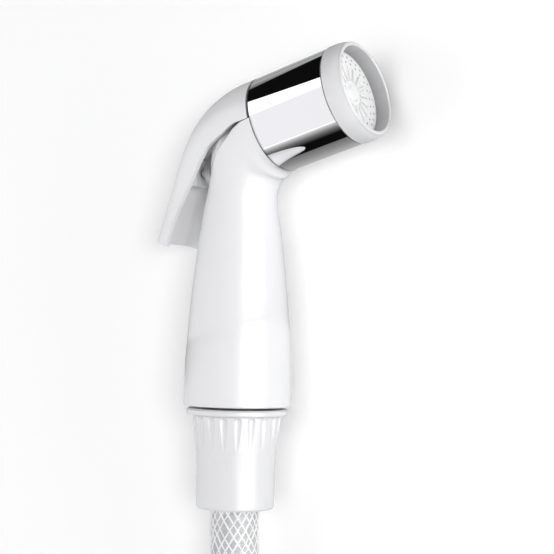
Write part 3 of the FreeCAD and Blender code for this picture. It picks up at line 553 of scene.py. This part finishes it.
# Cards mirrored by the bright sleeve. Each has its four corners beside the head's axis in millimetres: along
# the axis, up the picture, and height over the axis. Its ramp of tones runs from its first side to the one
# across: from the foot to the top, and on the two that lie on the floor from far off the axis to near it.
SLEEVE_CARDS = {
    "card_black_upper": (((-48, 60, 26), (30, 60, -17), (30, 60, 105), (-48, 60, 26.5)),
                         ((0.0, 0.004), (1.0, 0.004))),
    "card_foot_upper": (((-90, 62, -17), (40, 62, -17), (40, 62, 40), (-90, 62, 40)),
                        ((0.0, 0.45), (0.45, 0.12), (0.75, 0.015), (1.0, 0.004))),
    "card_white": (((-140, 100, 50), (60, 100, 54), (60, 100, 260), (-140, 100, 260)),
                   ((0.0, 1.35), (1.0, 1.35))),
    "card_lower": (((-80, -60, -17), (40, -60, -17), (40, -60, 38), (-80, -60, 38)),
                   ((0.0, 0.004), (0.44, 0.004), (0.57, 0.08), (0.68, 0.18), (0.82, 0.45), (0.93, 0.74),
                    (0.96, 1.25), (1.0, 1.25))),
    "card_floor_upper": (((-80, 60, -16.8), (40, 60, -16.8), (40, 2, -16.8), (-80, 2, -16.8)),
                         ((0.0, 0.25), (0.5, 0.48), (1.0, 0.7))),
    "card_floor_lower": (((-80, -60, -16.8), (40, -60, -16.8), (40, -2, -16.8), (-80, -2, -16.8)),
                         ((0.0, 0.15), (0.45, 0.26), (0.72, 0.42), (0.9, 0.58), (1.0, 0.7))),
}


def side_place(angle, distance, y):
    """Place at an angle and a distance round the middle line."""
    right, _, back = camera_axes()
    way = back * math.cos(math.radians(angle)) + right * math.sin(math.radians(angle))
    return Vector((way.x * distance, y, AXIS_HEIGHT + way.z * distance))


def aimed(place, target):
    """Matrix that puts an object at a place with its -Z side to a target and its X along the handle."""
    back = (place - target).normalized()
    up = back.cross(Vector((0, 1, 0))).normalized()
    right = up.cross(back)
    return Matrix.Translation(place) @ Matrix((right, up, back)).transposed().to_4x4()


def area_lamp(name, angle, distance, y, size, radiance, casts):
    """Soft rectangular lamp of a given brightness at its face, not mirrored by the object."""
    data = bpy.data.lights.new(name, "AREA")
    data.shape = "RECTANGLE"
    data.size, data.size_y = size
    data.energy = radiance * math.pi * size[0] * size[1]
    data.use_shadow = casts
    lamp = bpy.data.objects.new(name, data)
    lamp.matrix_world = aimed(side_place(angle, distance, y), Vector((0, 0, AXIS_HEIGHT)))
    lamp.visible_glossy = False
    lamp.visible_camera = False
    bpy.context.scene.collection.objects.link(lamp)


def card_material(name, ramp_stops):
    """Glow with a ramp of tones from the card's first side to the one across."""
    material, nodes, links, _ = new_material(name)
    place = nodes.new("ShaderNodeTexCoord")
    parts = nodes.new("ShaderNodeSeparateXYZ")
    links.new(place.outputs["UV"], parts.inputs[0])
    ramp = nodes.new("ShaderNodeValToRGB")
    links.new(parts.outputs["Y"], ramp.inputs["Fac"])
    while len(ramp.color_ramp.elements) < len(ramp_stops):
        ramp.color_ramp.elements.new(0.5)
    for element, (position, tone) in zip(ramp.color_ramp.elements, ramp_stops):
        element.position = position
        element.color = (tone, tone, tone, 1)
    glow = nodes.new("ShaderNodeEmission")
    links.new(ramp.outputs["Color"], glow.inputs["Color"])
    links.new(glow.outputs[0], nodes["Material Output"].inputs["Surface"])
    return material


def gloss_card(name, corners, ramp_stops):
    """Card that only shows in reflections."""
    def build(mesh):
        layer = mesh.loops.layers.uv.new("across")
        face = mesh.faces.new([mesh.verts.new(corner) for corner in corners])
        for loop, spot in zip(face.loops, ((0, 0), (1, 0), (1, 1), (0, 1))):
            loop[layer].uv = spot
    card = link_mesh(name, build)
    card.data.materials.append(card_material(name, ramp_stops))
    card.visible_camera = False
    card.visible_diffuse = False
    card.visible_shadow = False
    card.visible_transmission = False
    card.visible_volume_scatter = False


def head_place(along, up, height):
    """Point in the row frame from the head's axis in millimetres: along it, up the picture, and a height."""
    x = along * math.cos(HEAD_RISE) - up * math.sin(HEAD_RISE)
    y = along * math.sin(HEAD_RISE) + up * math.cos(HEAD_RISE)
    return Vector((x * MM + SHIFT_X, y * MM + HEAD_START_Y + SHIFT_Y, height * MM + AXIS_HEIGHT))


def side_card(name, angles, distance, low_y, high_y, tone):
    """Card on the right between two angles, upright in the picture."""
    first, last = [side_place(angle, distance, low_y) for angle in angles]
    rise = Vector((0, high_y - low_y, 0))
    gloss_card(name, (first, last, last + rise, first + rise), ((0.0, tone), (1.0, tone)))


def make_lights():
    """Lamps beside the camera, on the right and on the left, and the cards that the object mirrors."""
    for name, values in LAMPS.items():
        area_lamp(name, **values)
    side_card("card_right", **RIGHT_CARD)
    for name, (corners, ramp_stops) in SLEEVE_CARDS.items():
        gloss_card(name, [head_place(*corner) for corner in corners], ramp_stops)


def make_hose():
    """Hose: clear sheath as a curve along the route, with its inner tube and its braid."""
    route = hose_points()
    hose = nurbs_curve("hose_sheath", route, HOSE_R)
    line = route_line(route)
    core = hose_core(line)
    strands_right = hose_strands("hose_strands_right", line, 1)
    strands_left = hose_strands("hose_strands_left", line, -1)
    pieces = (hose, core, strands_right, strands_left)
    for piece, material in zip(pieces, (SHEATH, BRAID_GREY, STRAND_WHITE, STRAND_WHITE)):
        piece.data.materials.append(material)
        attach(piece, "handset")
    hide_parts("hose", "hose_coil", "hose_end")


make_camera()
make_hose()
finish_nodes()
make_floor()
make_world()
make_lights()
bpy.context.scene.view_settings.view_transform = "Standard"
